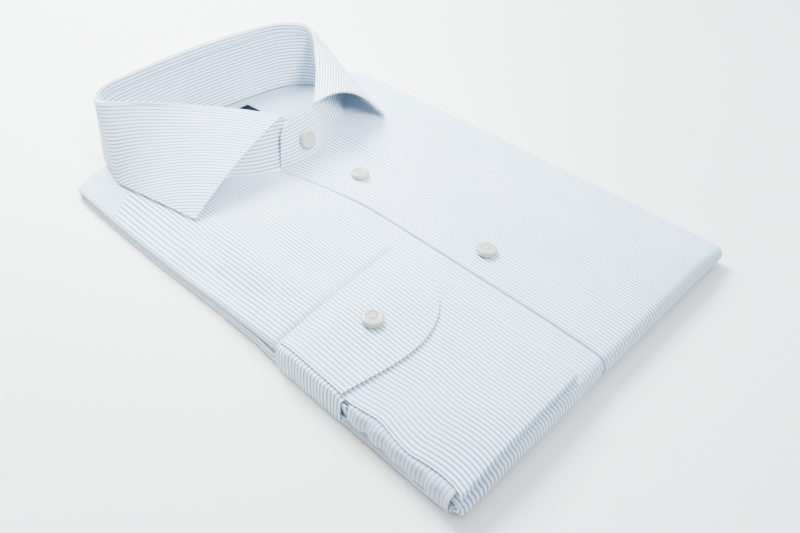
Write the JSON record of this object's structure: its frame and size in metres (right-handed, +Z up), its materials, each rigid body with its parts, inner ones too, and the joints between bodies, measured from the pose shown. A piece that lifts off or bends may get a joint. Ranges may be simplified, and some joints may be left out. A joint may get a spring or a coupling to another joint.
{
  "type": "folded dress shirt",
  "caption": "Long-sleeved dress shirt folded flat, with its spread collar standing, front buttoned and one cuff laid across the front.",
  "frame": {"origin": "middle of the folded shirt's flat underside, halfway between its two side folds", "axes": "+X towards the wearer's left side, +Y from the bottom fold towards the collar, +Z up out of the surface that the shirt lies on"},
  "size_m": [0.2312, 0.3428, 0.0536],
  "materials": {
    "shirting": "fine white cotton with narrow pale blue stripes",
    "interlined_shirting": "the same striped cotton, interlined and pressed smooth",
    "yoke_lining": "plain pale cotton",
    "label_weave": "plain dark woven tape, blank",
    "pearl": "polished pearly shell"
  },
  "bodies": {
    "root": {"front_left": "shirting", "front_right": "shirting", "yoke": "shirting", "inner_yoke": "yoke_lining", "hidden_layers": "shirting", "collar_leaf": "interlined_shirting", "collar_band": "interlined_shirting", "cuff": "interlined_shirting", "sleeve": "shirting", "sleeve_placket": "shirting", "neck_label": "label_weave", "button_band": "pearl", "button_front_upper": "pearl", "button_front_lower": "pearl", "button_cuff": "pearl"}
  },
  "joints": []
}
